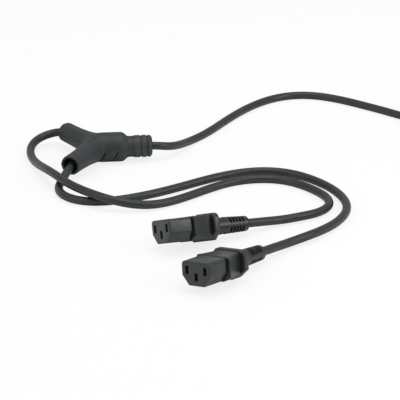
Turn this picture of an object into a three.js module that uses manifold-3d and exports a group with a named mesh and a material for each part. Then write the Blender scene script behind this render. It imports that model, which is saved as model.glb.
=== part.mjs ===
// Power cord splitter: one lead that forks in a moulded junction into two leads, each with an
// appliance connector. The trunk lead ends in the matching plug and is wound into a coil.
// Millimetres, +Z up, the surface it lies on is z = 0. +X runs along the junction's trunk axis.
import * as THREE from 'three';
import { mergeVertices } from 'three/addons/utils/BufferGeometryUtils.js';
import Module from 'manifold-3d';

// Cords
const CORD_D = 5.8;            // outside diameter of all three leads
const CORD_SIDES = 10;         // flats of a drawn cord
const CORD_STEP = 2.6;         // one step of a drawn cord, in cord diameters
const FIT = 0.3;               // gap between pieces that touch
const CORE_D = 1.8;            // insulated conductor
const CORE_RING = 1.2;         // conductors' distance from the cord's middle
const CORE_BORE = 2.7;         // radius of the passage that holds the conductors
const CORE_STEPS = 13;         // steps of a drawn conductor
const CORE_END = 1.3;          // a conductor's straight end

// Junction
const FORK = THREE.MathUtils.degToRad(60);    // each sleeve's angle off the trunk axis
const SLEEVE_LENGTH = 41.6;    // from the fork's middle to a sleeve's mouth
const SLEEVE_R = 7.15;
const RECESS_R = 5.2;          // the open end of a sleeve, around its lead
const RECESS_DEPTH = 9;
const BARREL_R = 10.6;
const BARREL_LENGTH = 18.2;    // from the fork's middle to the shoulder
const SHOULDER = 3.8;
const COLLAR_R = 7.5;
const COLLAR_LENGTH = 17.2;
const RING_R = 7.95;
const RING_WIDTHS = [4.7, 3.4];
const RING_GROOVE = 1.0;
const NECK_LENGTH = 4.0;
const COLLAR_NOSE_R = 5.4;     // the collar's rounded end
const CHAMBER_R = 7.4;         // room for the joints inside the barrel
const CHAMBER_BACK = 3.8;      // how far the room reaches behind the fork's middle
const CHAMBER_LENGTH = 20.4;
const JOINT_R = 1.7;           // crimped joint
const JOINT_LENGTH = 8;
const JOINT_PITCH = 4.1;
const JOINT_START = 3.8;       // from the fork's middle
const SLIT_WIDTH = 1.3;
const SLIT_LENGTH = 9;
const SLIT_DEPTH = 1.3;
const SLIT_LEAN = THREE.MathUtils.degToRad(24);
const SLIT_PLACES = [3.6, 12.6];              // along the barrel from the fork's middle
const SLIT_ROUND = THREE.MathUtils.degToRad(113);  // around the barrel, from its top
const DIMPLE_R = 0.65;         // marks left by the mould's core pins
const DIMPLE_DEPTH = 1.4;

// Connectors and plug share their outline. Each has its cord end at x = 0 and faces +x.
const FACE_W = 22;
const FACE_H = 15.3;
const FACE_ROUND = 2.6;
const FACE_CUT = 5;            // sideways reach of the two cut corners
const FACE_CUT_H = 6.2;        // their height
const FACE_BEVEL = 0.7;
const NOSE_LENGTH = 17.3;
const PIN_SPREAD = 14;         // between the two outer pins
const PIN_STEP = 4;            // the earth pin's offset from the other two
const PIN_W = 2;
const PIN_H = 4;
const SLOT_W = 2.5;
const SLOT_H = 5;
const GRIP_W = 26.4;
const GRIP_H = 16;
const GRIP_CUT_H = 3;
const GRIP_CUT = 6.4;
const GRIP_LENGTH = 15.6;
const WAIST_W = 18;
const FLANGE_W = 25.2;
const FLANGE_H = 17.8;
const FLANGE_ROUND = 5;
const FLANGE_CUT = 6.2;
const FLANGE_CUT_H = 5.4;
const FLANGE_LENGTH = 4.3;
const LIP_LENGTH = 6;          // tongue under the grip, in front of the flange
const LIP_W = 13;
const LIP_H = 1.6;
const RELIEF_LENGTH = 28.3;
const RELIEF_ROOT_R = 6;
const RELIEF_END_R = 5;
const RELIEF_TIP = 1.3;        // rounding at the cord end
const RIB_COUNT = 5;
const RIB_PITCH = 2.45;
const RIB_GROOVE = 1.3;
const RIB_DEPTH = 1.5;
const RIB_START = 4.4;         // first groove, from the cord end
const SPINE = 3.4;             // uncut band on both sides of the strain relief
const NOTCH = [2.6, 3.2];      // the window next to the flange, along and across
const TENON_W = 18.6;          // the insert's root inside the grip
const TENON_H = 10.4;
const TENON_LENGTH = 7;
const POCKET_LENGTH = 17;      // hollow in the grip, from its front
const POCKET_BACK_W = 7.2;     // its width where the conductors come in
const TAIL_OUT = 1.7;          // how far contacts and pins stand out of the tenon's back
const CONTACT_WALL = 0.5;
const CONTACT_SET = 2;         // contact's distance behind the face
const SHROUD_WALL = 1.9;       // the plug's collar around its pins
const SHROUD_DEPTH = 16.6;
const SHROUD_PLAY = 0.6;       // play of a connector's nose inside it
const PIN_OUT = 14.6;          // how far a pin stands off its carrier

// Where the two connectors lie: middle of the cord end, heading, nose lift and roll to one side
const CONNECTORS = [
  { at: [86.9, -197.1, 6.9], heading: -134.2, lift: 5.6, roll: 8.5 },
  { at: [83.6, -147.5, 7.2], heading: -153.2, lift: 6.9, roll: 22 },
];

// Coil of the trunk lead: three turns across and two turns high, on its tie
const COIL_AT = [279, 70];
const COIL_R = 32;             // middle of the turns
const COIL_PITCH = 6;
const COIL_ACROSS = 3;
const TIE_WALL = 0.8;
const TIE_W = 9;
const TIE_AT = THREE.MathUtils.degToRad(100);
const COIL_LIFT = TIE_WALL + FIT + 0.1;
const LEAD_R = COIL_R + COIL_PITCH;           // the outer turn, which both ends of the coil use
const PLUG_CLEAR = 41.6;       // plug's cord end beyond the middle of the coil

// Derived places in the junction
const SLEEVE_DIR = [1, -1].map((side) => new THREE.Vector3(-Math.cos(FORK), side * Math.sin(FORK), 0));
const JUNCTION_FRONT = BARREL_LENGTH + SHOULDER + COLLAR_LENGTH;
const JUNCTION_BACK = SLEEVE_LENGTH * Math.cos(FORK) + SLEEVE_R * Math.sin(FORK);
const FORK_X = (JUNCTION_BACK - JUNCTION_FRONT) / 2;
const FORK_AT = new THREE.Vector3(FORK_X, 0, BARREL_R);
const COLLAR_END = FORK_X + JUNCTION_FRONT;
const RECESS_FLOOR = SLEEVE_LENGTH - RECESS_DEPTH;
const LIE = CORD_D / 2 + 0.1;  // height of a lead's middle where it lies on the surface
const OVER = LIE + CORD_D + 0.4;              // and where it lies on another lead

const wasm = await Module();
wasm.setup();

// three.js geometry to a closed solid and back
function solid(geometry) {
  const plain = geometry.clone();
  plain.deleteAttribute('normal');
  plain.deleteAttribute('uv');
  const merged = mergeVertices(plain, 1e-4);
  return new wasm.Manifold(new wasm.Mesh({
    numProp: 3,
    vertProperties: new Float32Array(merged.attributes.position.array),
    triVerts: new Uint32Array(merged.index.array),
  }));
}

function geometryOf(body) {
  const mesh = body.getMesh();
  const geometry = new THREE.BufferGeometry();
  geometry.setAttribute('position', new THREE.BufferAttribute(new Float32Array(mesh.vertProperties), 3));
  geometry.setIndex(new THREE.BufferAttribute(new Uint32Array(mesh.triVerts), 1));
  geometry.computeVertexNormals();
  return geometry;
}

// Materials, each with its colour, roughness and metalness
const paint = (color, roughness, metalness = 0) =>
  new THREE.MeshStandardMaterial({ color, roughness, metalness });
const materials = {
  matt: paint(0x24292a, 0.6),
  satin: paint(0x1b2021, 0.38),
  jacket: paint(0x1e2424, 0.42),
  insert: paint(0x222827, 0.36),
  brass: paint(0xb99b55, 0.3, 1),
  nickel: paint(0xbfc1c0, 0.25, 1),
  tin: paint(0x9fa3a5, 0.35, 1),
  strap: paint(0x16181a, 0.85),
  live: paint(0x5b3826, 0.5),
  neutral: paint(0x2c5fa8, 0.5),
  earth: paint(0x6d9a3c, 0.5),
};
const LINES = ['live', 'neutral', 'earth'];

function piece(name, body, material) {
  const mesh = new THREE.Mesh(body.isBufferGeometry ? body : geometryOf(body), materials[material]);
  mesh.name = name;
  return mesh;
}

// Frames for extrusions and lathes that run along x: a section's right is y and its up is z
const ALONG_X = new THREE.Matrix4().makeBasis(
  new THREE.Vector3(0, 1, 0), new THREE.Vector3(0, 0, 1), new THREE.Vector3(1, 0, 0));
const LATHE_X = new THREE.Matrix4().makeBasis(
  new THREE.Vector3(0, 1, 0), new THREE.Vector3(1, 0, 0), new THREE.Vector3(0, 0, -1));

function extrudeX(shape, from, length, bevel = 0, curveSegments = 5) {
  const geometry = new THREE.ExtrudeGeometry(shape, {
    depth: length - 2 * bevel,
    bevelEnabled: bevel > 0,
    bevelThickness: bevel,
    bevelSize: bevel,
    bevelOffset: -bevel,
    bevelSegments: 2,
    curveSegments,
  });
  return solid(geometry.applyMatrix4(ALONG_X).translate(from + bevel, 0, 0));
}

function latheX(profile, segments) {
  const points = profile.map(([x, r]) => new THREE.Vector2(r, x));
  return solid(new THREE.LatheGeometry(points, segments).applyMatrix4(LATHE_X));
}

const rodX = (from, to, r, segments = 24) => latheX([[from, 0], [from, r], [to, r], [to, 0]], segments);

function box(x, y, z) {
  const geometry = new THREE.BoxGeometry(x[1] - x[0], y[1] - y[0], z[1] - z[0]);
  return solid(geometry.translate((x[0] + x[1]) / 2, (y[0] + y[1]) / 2, (z[0] + z[1]) / 2));
}

// Outline with two rounded upper corners and two cut lower corners, around its middle
function outline(w, h, round, cut, cutH) {
  const shape = new THREE.Shape();
  shape.moveTo(-w / 2 + cut, -h / 2);
  shape.lineTo(w / 2 - cut, -h / 2);
  shape.lineTo(w / 2, -h / 2 + cutH);
  shape.lineTo(w / 2, h / 2 - round);
  shape.absarc(w / 2 - round, h / 2 - round, round, 0, Math.PI / 2, false);
  shape.lineTo(-w / 2 + round, h / 2);
  shape.absarc(-w / 2 + round, h / 2 - round, round, Math.PI / 2, Math.PI, false);
  shape.lineTo(-w / 2, -h / 2 + cutH);
  shape.closePath();
  return shape;
}

// Where the three pins or slots sit on a face: across and up
const PIN_PLACES = [[-PIN_SPREAD / 2, PIN_STEP / 2], [PIN_SPREAD / 2, PIN_STEP / 2], [0, -PIN_STEP / 2]];
const corePlace = (line) => {
  const angle = Math.PI * (5 / 6 - (2 / 3) * line);
  return [CORE_RING * Math.cos(angle), CORE_RING * Math.sin(angle)];
};

// Tube along a list of points, its section a polygon
function tube(points, d, sides, steps) {
  const section = new THREE.Shape();
  for (let i = 0; i < sides; i += 1) {
    const angle = (2 * Math.PI * i) / sides;
    const [x, y] = [(d / 2) * Math.cos(angle), (d / 2) * Math.sin(angle)];
    if (i === 0) section.moveTo(x, y);
    else section.lineTo(x, y);
  }
  section.closePath();
  const path = new THREE.CatmullRomCurve3(points.map((p) => new THREE.Vector3(...p)), false, 'centripetal');
  const count = steps ?? Math.round(path.getLength() / (CORD_STEP * d));
  return new THREE.ExtrudeGeometry(section, { steps: count, bevelEnabled: false, extrudePath: path });
}

const core = (name, points, line) => piece(name, tube(points, CORE_D, 6, CORE_STEPS), LINES[line]);

// Junction: a barrel with a collar for the trunk and two open sleeves for the branches
function sleeve(dir) {
  const profile = [[0, 0]];
  for (let i = 0; i <= 8; i += 1) {
    const x = (SLEEVE_LENGTH * i) / 8;
    profile.push([x, SLEEVE_R + (BARREL_R - SLEEVE_R) * (1 - i / 8) ** 3]);
  }
  profile.push([SLEEVE_LENGTH, 0]);
  return turnTo(latheX(profile, 28), dir);
}

function turnTo(body, dir) {
  const angle = THREE.MathUtils.radToDeg(Math.atan2(dir.y, dir.x));
  return body.rotate([0, 0, angle]);
}

function collarProfile() {
  const neck = BARREL_LENGTH + SHOULDER;
  const profile = [[-4, 0], [-4, BARREL_R - 5], [-1, BARREL_R - 0.7], [2, BARREL_R]];
  profile.push([BARREL_LENGTH - 1, BARREL_R]);
  profile.push([BARREL_LENGTH + 0.8, BARREL_R - 0.6], [neck, COLLAR_R], [neck + NECK_LENGTH, COLLAR_R]);
  let x = neck + NECK_LENGTH;
  for (const width of RING_WIDTHS) {
    profile.push([x, RING_R], [x + width, RING_R], [x + width, COLLAR_R]);
    x += width + RING_GROOVE;
    profile.push([x, COLLAR_R]);
  }
  profile.push([x, RING_R], [JUNCTION_FRONT - 1.6, RING_R - 0.6]);
  profile.push([JUNCTION_FRONT - 0.5, COLLAR_NOSE_R + 0.9], [JUNCTION_FRONT, COLLAR_NOSE_R]);
  profile.push([JUNCTION_FRONT, 0]);
  return profile;
}

function slits() {
  const cutters = [];
  for (const place of SLIT_PLACES) {
    for (const side of [-1, 1]) {
      const cutter = new THREE.BoxGeometry(SLIT_WIDTH, SLIT_LENGTH, 2 * SLIT_DEPTH);
      cutter.rotateZ(side * SLIT_LEAN).translate(0, 0, BARREL_R);
      cutter.rotateX(-side * SLIT_ROUND).translate(place, 0, 0);
      cutters.push(solid(cutter));
    }
  }
  return cutters;
}

function dimples() {
  const places = SLEEVE_DIR.flatMap((dir) => {
    const outer = dir.clone().multiplyScalar(SLEEVE_LENGTH - 7);
    return [[outer.x, outer.y, SLEEVE_R], [-1.5, 6.2 * Math.sign(dir.y), 8.4]];
  });
  return places.map(([x, y, z]) => {
    const pin = new THREE.CylinderGeometry(DIMPLE_R, DIMPLE_R, 2 * DIMPLE_DEPTH, 8);
    return solid(pin.rotateX(Math.PI / 2).translate(x, y, z));
  });
}

function junctionBody() {
  let body = latheX(collarProfile(), 32);
  for (const dir of SLEEVE_DIR) body = body.add(sleeve(dir));
  body = body.subtract(rodX(-CHAMBER_BACK, CHAMBER_LENGTH - CHAMBER_BACK, CHAMBER_R, 24));
  body = body.subtract(rodX(0, JUNCTION_FRONT + 1, CORE_BORE, 12));
  for (const dir of SLEEVE_DIR) {
    body = body.subtract(turnTo(rodX(0, SLEEVE_LENGTH, CORE_BORE, 12), dir));
    body = body.subtract(turnTo(rodX(RECESS_FLOOR, SLEEVE_LENGTH + 1, RECESS_R, 24), dir));
  }
  for (const cutter of [...slits(), ...dimples()]) body = body.subtract(cutter);
  return body;
}

// Conductors of the junction: the joints are stacked, one for each line, and each takes three ends
function junctionCores() {
  const parts = [];
  LINES.forEach((line, i) => {
    const z = JOINT_PITCH * (1 - i);
    const joint = rodX(JOINT_START, JOINT_START + JOINT_LENGTH, JOINT_R, 12).translate([0, 0, z]);
    parts.push(piece(`joint_${line}`, joint, 'tin'));
    const [y0, z0] = corePlace(i);
    const front = JOINT_START + JOINT_LENGTH + FIT;
    const inside = CHAMBER_LENGTH - CHAMBER_BACK;
    const trunk = [
      [JUNCTION_FRONT - FIT, y0, z0], [inside + 3, y0, z0], [inside, y0, z0],
      [front + CORE_END, 0, z], [front, 0, z],
    ];
    parts.push(core(`trunk_core_${line}`, trunk, i));
    SLEEVE_DIR.forEach((dir, b) => {
      const side = Math.sign(dir.y);
      const beside = side * (CORE_D / 2 + 0.12);
      const across = new THREE.Vector3(-dir.y * side, dir.x * side, 0);
      const at = (t, u, h) => [dir.x * t + across.x * u, dir.y * t + across.y * u, h];
      const [u, h] = corePlace(i);
      const branch = [
        at(RECESS_FLOOR - FIT, u, h), at(16, u, h), at(7.6, u, h), at(3.2, u, h + (z - h) * 0.6),
        [JOINT_START - CORE_END, beside, z], [JOINT_START - FIT, beside, z],
      ];
      parts.push(core(`branch_${b + 1}_core_${line}`, branch, i));
    });
  });
  return parts;
}

// Strain relief: a ribbed taper whose grooves leave an uncut spine on both sides
function strainRelief() {
  const r = (x) => RELIEF_END_R + ((RELIEF_ROOT_R - RELIEF_END_R) * x) / RELIEF_LENGTH;
  let body = latheX([
    [0, 0], [0, RELIEF_END_R - RELIEF_TIP], [0.3, RELIEF_END_R - 0.5], [RELIEF_TIP, r(RELIEF_TIP)],
    [RELIEF_LENGTH + FLANGE_LENGTH, r(RELIEF_LENGTH)], [RELIEF_LENGTH + FLANGE_LENGTH, 0],
  ], 24);
  for (let i = 0; i < RIB_COUNT; i += 1) {
    const x = RIB_START + i * RIB_PITCH;
    const inner = r(x) - RIB_DEPTH;
    const outer = RELIEF_ROOT_R + 2;
    const end = x + RIB_GROOVE;
    const ring = latheX([[x, inner], [x, outer], [end, outer], [end, inner], [x, inner]], 24);
    const spines = box([x - 1, end + 1], [-outer - 1, outer + 1], [-SPINE / 2, SPINE / 2]);
    body = body.subtract(ring.subtract(spines));
  }
  const notchX = RIB_START + RIB_COUNT * RIB_PITCH + 1.6;
  for (const side of [-1, 1]) {
    const z = [side * (r(notchX) - RIB_DEPTH), side * (RELIEF_ROOT_R + 2)].sort((a, b) => a - b);
    body = body.subtract(box([notchX, notchX + NOTCH[0]], [-NOTCH[1], NOTCH[1]], z));
  }
  return body;
}

const FLANGE_AT = RELIEF_LENGTH;
const GRIP_AT = FLANGE_AT + FLANGE_LENGTH;
const NOSE_AT = GRIP_AT + GRIP_LENGTH;
const FACE_AT = NOSE_AT + NOSE_LENGTH;
const TAIL_AT = NOSE_AT - TENON_LENGTH - TAIL_OUT;
const POCKET_AT = NOSE_AT - POCKET_LENGTH;

// Grip between flange and nose: pinched in plan, with the nose's own kind of section
function grip(frontW, waistW) {
  const plan = new THREE.Shape();
  plan.moveTo(GRIP_AT - 1, -waistW / 2);
  plan.quadraticCurveTo(GRIP_AT + GRIP_LENGTH * 0.45, -waistW / 2, NOSE_AT, -frontW / 2);
  plan.lineTo(NOSE_AT, frontW / 2);
  plan.quadraticCurveTo(GRIP_AT + GRIP_LENGTH * 0.45, waistW / 2, GRIP_AT - 1, waistW / 2);
  plan.closePath();
  const slab = new THREE.ExtrudeGeometry(plan, { depth: GRIP_H + 2, bevelEnabled: false, curveSegments: 7 });
  const section = extrudeX(outline(frontW, GRIP_H, 2.2, GRIP_CUT, GRIP_CUT_H), GRIP_AT - 1, GRIP_LENGTH + 1);
  return section.intersect(solid(slab.translate(0, 0, -GRIP_H / 2 - 1)));
}

function gripShell() {
  const flange = outline(FLANGE_W, FLANGE_H, FLANGE_ROUND, FLANGE_CUT, FLANGE_CUT_H);
  const base = -FLANGE_H / 2;
  const lip = box([GRIP_AT - 1, GRIP_AT + LIP_LENGTH], [-LIP_W / 2, LIP_W / 2], [base, base + LIP_H]);
  return strainRelief()
    .add(extrudeX(flange, FLANGE_AT, FLANGE_LENGTH, 0.8))
    .add(grip(GRIP_W, WAIST_W))
    .add(lip);
}

const tenon = (to) => box(
  [NOSE_AT - TENON_LENGTH, to], [-TENON_W / 2, TENON_W / 2], [-TENON_H / 2, TENON_H / 2]);

// Hollow in the grip: the tenon's room, and behind it a narrowing room for the conductors
function hollow(body) {
  const root = NOSE_AT - TENON_LENGTH - FIT;
  const tails = (PIN_SPREAD + PIN_W) / 2 + CONTACT_WALL + FIT;
  const wide = TENON_W / 2 + FIT;
  const side = [[POCKET_AT, POCKET_BACK_W / 2], [TAIL_AT - 1, tails], [root, wide], [NOSE_AT + 1, wide]];
  const rim = [...side, ...side.map(([x, y]) => [x, -y]).reverse()];
  const plan = new THREE.Shape(rim.map(([x, y]) => new THREE.Vector2(x, y)));
  const h = TENON_H + 2 * FIT;
  const room = new THREE.ExtrudeGeometry(plan, { depth: h, bevelEnabled: false }).translate(0, 0, -h / 2);
  return body.subtract(solid(room)).subtract(rodX(-1, POCKET_AT + 1, CORE_BORE, 12));
}

// Conductors inside a connector or plug, from the cord end to the contacts' tails
function tailCores(prefix) {
  return LINES.map((line, i) => {
    const [y0, z0] = corePlace(i);
    const [y1, z1] = PIN_PLACES[i];
    const points = [
      [FIT, y0, z0], [POCKET_AT - 3, y0, z0], [POCKET_AT + 0.3, y0, z0],
      [TAIL_AT - CORE_END, y1, z1], [TAIL_AT - FIT, y1, z1],
    ];
    return core(`${prefix}_core_${line}`, points, i);
  });
}

// Appliance connector: an insert with three slots, its contacts, and the grip moulded over it
function connector(prefix) {
  const parts = [piece(`${prefix}_grip`, hollow(gripShell()), 'satin')];
  let insert = extrudeX(outline(FACE_W, FACE_H, FACE_ROUND, FACE_CUT, FACE_CUT_H),
    NOSE_AT + FIT, NOSE_LENGTH - FIT, FACE_BEVEL);
  insert = insert.add(tenon(NOSE_AT + 2));
  const cellFront = FACE_AT - CONTACT_SET + FIT;
  PIN_PLACES.forEach(([y, z], i) => {
    const [slotY, slotZ] = [[y - SLOT_W / 2, y + SLOT_W / 2], [z - SLOT_H / 2, z + SLOT_H / 2]];
    insert = insert.subtract(box([NOSE_AT - TENON_LENGTH - 1, FACE_AT + 1], slotY, slotZ));
    const [halfW, halfH] = [PIN_W / 2 + CONTACT_WALL, PIN_H / 2 + CONTACT_WALL];
    const room = [[y - halfW - FIT, y + halfW + FIT], [z - halfH - FIT, z + halfH + FIT]];
    insert = insert.subtract(box([NOSE_AT - TENON_LENGTH - 1, cellFront], ...room));
    const contact = box([TAIL_AT, FACE_AT - CONTACT_SET], [y - halfW, y + halfW], [z - halfH, z + halfH])
      .subtract(box([NOSE_AT, FACE_AT], [y - PIN_W / 2, y + PIN_W / 2], [z - PIN_H / 2, z + PIN_H / 2]));
    parts.push(piece(`${prefix}_contact_${LINES[i]}`, contact, 'brass'));
  });
  parts.push(piece(`${prefix}_insert`, insert, 'insert'));
  parts.push(...tailCores(prefix));
  return parts;
}

// Plug: the same grip with an open collar in front, which takes a connector's nose
function plug() {
  const w = FACE_W + 2 * SHROUD_PLAY;
  const h = FACE_H + 2 * SHROUD_PLAY;
  const wall = 2 * SHROUD_WALL;
  const outer = outline(w + wall, h + wall, FACE_ROUND + SHROUD_WALL, FACE_CUT + 1, FACE_CUT_H + 1);
  const inner = outline(w, h, FACE_ROUND, FACE_CUT, FACE_CUT_H);
  const shroud = extrudeX(outer, NOSE_AT - 2, SHROUD_DEPTH + 2, 0.6)
    .subtract(extrudeX(inner, NOSE_AT, SHROUD_DEPTH + 2));
  const shell = hollow(gripShell().add(extrudeX(outer, NOSE_AT - 2, 2)).add(shroud));
  let carrier = tenon(NOSE_AT - FIT);
  const parts = [piece('plug_grip', shell, 'satin')];
  PIN_PLACES.forEach(([y, z], i) => {
    const hole = [[y - PIN_W / 2 - FIT, y + PIN_W / 2 + FIT], [z - PIN_H / 2 - FIT, z + PIN_H / 2 + FIT]];
    carrier = carrier.subtract(box([TAIL_AT, NOSE_AT], ...hole));
    const pin = new THREE.Shape();
    const tip = NOSE_AT + PIN_OUT;
    pin.moveTo(TAIL_AT, -PIN_H / 2);
    pin.lineTo(tip - 1, -PIN_H / 2);
    pin.lineTo(tip, -PIN_H / 2 + 0.7);
    pin.lineTo(tip, PIN_H / 2 - 0.7);
    pin.lineTo(tip - 1, PIN_H / 2);
    pin.lineTo(TAIL_AT, PIN_H / 2);
    pin.closePath();
    const blade = new THREE.ExtrudeGeometry(pin, { depth: PIN_W, bevelEnabled: false });
    blade.rotateX(Math.PI / 2).translate(0, y + PIN_W / 2, z);
    parts.push(piece(`plug_pin_${LINES[i]}`, solid(blade), 'nickel'));
  });
  parts.push(piece('plug_pin_carrier', carrier, 'insert'));
  parts.push(...tailCores('plug'));
  return parts;
}

// Placing a connector or plug by the middle of its cord end
function place(parts, at, heading, lift, roll) {
  const group = new THREE.Group();
  group.add(...parts);
  group.position.set(...at);
  const [x, y, z] = [roll, -lift, heading].map(THREE.MathUtils.degToRad);
  group.rotation.set(x, y, z, 'ZYX');
  return group;
}

// Where a lead meets a connector: just off its cord end, and points on along its axis
function behind(pose, distance, drop = 0) {
  const heading = THREE.MathUtils.degToRad(pose.heading);
  const lift = THREE.MathUtils.degToRad(pose.lift);
  const [x, y, z] = pose.at;
  const along = distance * Math.cos(lift);
  return [x - along * Math.cos(heading), y - along * Math.sin(heading), z - distance * Math.sin(lift) - drop];
}

function inSleeve(dir, t) {
  return [FORK_AT.x + dir.x * t, FORK_AT.y + dir.y * t, FORK_AT.z];
}

// Routes of the leads, from the junction outwards. The points are chosen by hand.
const BRANCH_1 = [
  inSleeve(SLEEVE_DIR[1], RECESS_FLOOR + FIT), [-25.0, -32.8, 10.3], [-28.2, -39.0, 8.6], [-31.6, -45.4, 5.9],
  [-34.6, -52.2, 3.6], [-36.2, -60.0, LIE], [-35.0, -68.5, LIE], [-31.0, -77.0, LIE], [-24.0, -83.8, LIE],
  [-14.5, -87.6, LIE], [-3.0, -87.6, LIE], [9.0, -84.5, LIE], [21.0, -79.8, LIE], [34.0, -73.2, LIE],
  [48.0, -64.8, LIE], [62.0, -55.8, LIE], [76.0, -47.6, LIE], [90.0, -41.8, LIE], [104.0, -39.2, LIE],
  [117.0, -41.0, LIE], [128.5, -47.2, LIE], [138.0, -56.8, LIE], [145.6, -68.0, LIE], [151.4, -80.0, LIE],
  [155.0, -92.6, LIE], [156.4, -105.4, LIE], [155.0, -118.0, LIE], [150.6, -130.4, LIE],
  [143.6, -142.2, LIE + 0.1], [134.4, -153.6, 3.6], [123.6, -165.0, 4.6],
  behind(CONNECTORS[0], 30, -0.4), behind(CONNECTORS[0], 15), behind(CONNECTORS[0], FIT),
];
const BRANCH_2 = [
  inSleeve(SLEEVE_DIR[0], RECESS_FLOOR + FIT), [-24.8, 32.3, 10.5], [-28.4, 37.2, 10.2], [-34.0, 40.0, 9.2],
  [-42.0, 38.4, 7.6], [-47.6, 34.6, 6.2], [-51.4, 28.6, 4.8], [-53.2, 21.0, 3.8], [-53.4, 12.0, 3.2],
  [-52.2, 1.5, LIE + 0.1], [-49.6, -11.0, 4.2], [-46.0, -25.5, 6.6], [-41.8, -40.0, 9.0],
  [-36.8, -53.0, OVER + 0.7], [-30.6, -65.4, OVER + 0.1], [-23.4, -77.2, OVER + 0.1],
  [-14.6, -88.4, OVER], [-4.6, -97.0, 8.4], [6.8, -101.4, 6.6], [18.6, -101.2, 4.6],
  [30.6, -97.0, 3.4], [43.0, -89.6, LIE], [56.0, -79.6, LIE],
  [69.0, -69.0, LIE], [82.0, -60.2, LIE], [95.0, -55.6, LIE], [107.4, -55.0, LIE], [118.8, -58.4, LIE],
  [129.0, -66.6, LIE], [137.6, -78.6, LIE], [143.6, -91.0, LIE], [145.6, -103.0, LIE], [142.4, -113.8, LIE],
  [134.6, -122.6, LIE + 0.1], [124.4, -129.6, 4.0],
  behind(CONNECTORS[1], 34, 0.4), behind(CONNECTORS[1], 16), behind(CONNECTORS[1], FIT),
];
const TRUNK = [
  [COLLAR_END + FIT, 0, BARREL_R], [COLLAR_END + 6, 0.3, 10.1], [COLLAR_END + 12, 2.6, 8.7], [50.4, 8.8, 6.9],
  [56.0, 17.2, 5.0], [61.6, 26.0, 3.6], [68.4, 34.6, LIE], [76.6, 45.0, LIE], [84.6, 57.0, LIE],
  [93.4, 71.0, LIE], [103.0, 85.6, LIE], [113.6, 99.6, LIE], [125.2, 112.0, LIE], [137.6, 121.4, LIE],
  [150.2, 126.2, LIE], [162.6, 126.2, LIE], [174.6, 121.4, LIE], [186.2, 113.2, LIE], [197.2, 102.8, LIE],
  [208.0, 91.6, LIE], [218.2, 80.4, LIE], [227.6, 69.6, LIE],
];

// The coil's ring, its tie, and the short run from the coil's last turn to the plug
const COIL_ENTRY = THREE.MathUtils.degToRad(223);
const COIL_TOP = COIL_LIFT + CORD_D + COIL_PITCH;
const COIL_OUT = COIL_R + (COIL_PITCH * (COIL_ACROSS - 1)) / 2 + CORD_D / 2;
const COIL_IN = COIL_R - (COIL_PITCH * (COIL_ACROSS - 1)) / 2 - CORD_D / 2;
const PLUG_POSE = {
  at: [COIL_AT[0] + LEAD_R, COIL_AT[1] + PLUG_CLEAR, FACE_H / 2 + SHROUD_PLAY + SHROUD_WALL + 0.1],
  heading: 90,
  lift: 0,
  roll: 0,
};

// A lead that runs at a tangent to the coil stops where it is FIT clear of the ring
const TANGENT = Math.sqrt((COIL_OUT + CORD_D / 2 + FIT + 0.1) ** 2 - LEAD_R ** 2);
function beforeCoil(distance) {
  const [c, s] = [Math.cos(COIL_ENTRY), Math.sin(COIL_ENTRY)];
  const [x, y] = COIL_AT;
  return [x + LEAD_R * c + distance * s, y + LEAD_R * s - distance * c, COIL_LIFT + CORD_D / 2];
}
TRUNK.push(beforeCoil(TANGENT));

const TAIL = [
  [COIL_AT[0] + LEAD_R, COIL_AT[1] + TANGENT, COIL_TOP - CORD_D / 2 - 0.2],
  behind(PLUG_POSE, 8), behind(PLUG_POSE, FIT),
];

function coil() {
  const round = CORD_D / 2.5;
  const [low, high] = [COIL_LIFT, COIL_TOP];
  const points = [
    [COIL_IN, low + round], [COIL_IN + round, low], [COIL_OUT - round, low], [COIL_OUT, low + round],
    [COIL_OUT, high - round], [COIL_OUT - round, high], [COIL_IN + round, high], [COIL_IN, high - round],
    [COIL_IN, low + round],
  ].map(([r, z]) => new THREE.Vector2(r, z));
  const ring = new THREE.LatheGeometry(points, 40).rotateX(Math.PI / 2);
  return solid(ring).scale([1, 1, -1]).translate([...COIL_AT, COIL_LIFT + COIL_TOP]);
}

function tie() {
  const loop = (grow) => {
    const [r0, r1] = [Math.sqrt(COIL_IN ** 2 - TIE_W ** 2 / 4) - FIT - 0.1 - grow, COIL_OUT + FIT + grow];
    const [z0, z1] = [COIL_LIFT - FIT - grow, COIL_TOP + FIT + grow];
    return box([r0, r1], [-TIE_W / 2 - grow, TIE_W / 2 + grow], [z0, z1]);
  };
  const band = loop(TIE_WALL).intersect(box([0, 100], [-TIE_W / 2, TIE_W / 2], [0, 100])).subtract(loop(0));
  return band.rotate([0, 0, THREE.MathUtils.radToDeg(TIE_AT)]).translate([...COIL_AT, 0]);
}

const splitter = new THREE.Group();
const junction = new THREE.Group();
junction.position.copy(FORK_AT);
junction.add(piece('junction_body', junctionBody(), 'matt'), ...junctionCores());
splitter.add(junction);
CONNECTORS.forEach(({ at, heading, lift, roll }, i) => {
  splitter.add(place(connector(`connector_${i + 1}`), at, heading, lift, roll));
});
splitter.add(place(plug(), PLUG_POSE.at, PLUG_POSE.heading, PLUG_POSE.lift, PLUG_POSE.roll));
splitter.add(piece('branch_cord_1', tube(BRANCH_1, CORD_D, CORD_SIDES), 'jacket'));
splitter.add(piece('branch_cord_2', tube(BRANCH_2, CORD_D, CORD_SIDES), 'jacket'));
splitter.add(piece('trunk_cord', tube(TRUNK, CORD_D, CORD_SIDES), 'jacket'));
splitter.add(piece('trunk_tail', tube(TAIL, CORD_D, CORD_SIDES, 3), 'jacket'));
splitter.add(piece('trunk_coil', coil(), 'jacket'));
splitter.add(piece('coil_tie', tie(), 'strap'));

export default splitter;
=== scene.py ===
"""The look of the power cord splitter: leads, moulded junction, connectors, plug, tie and stage."""
import math

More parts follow.
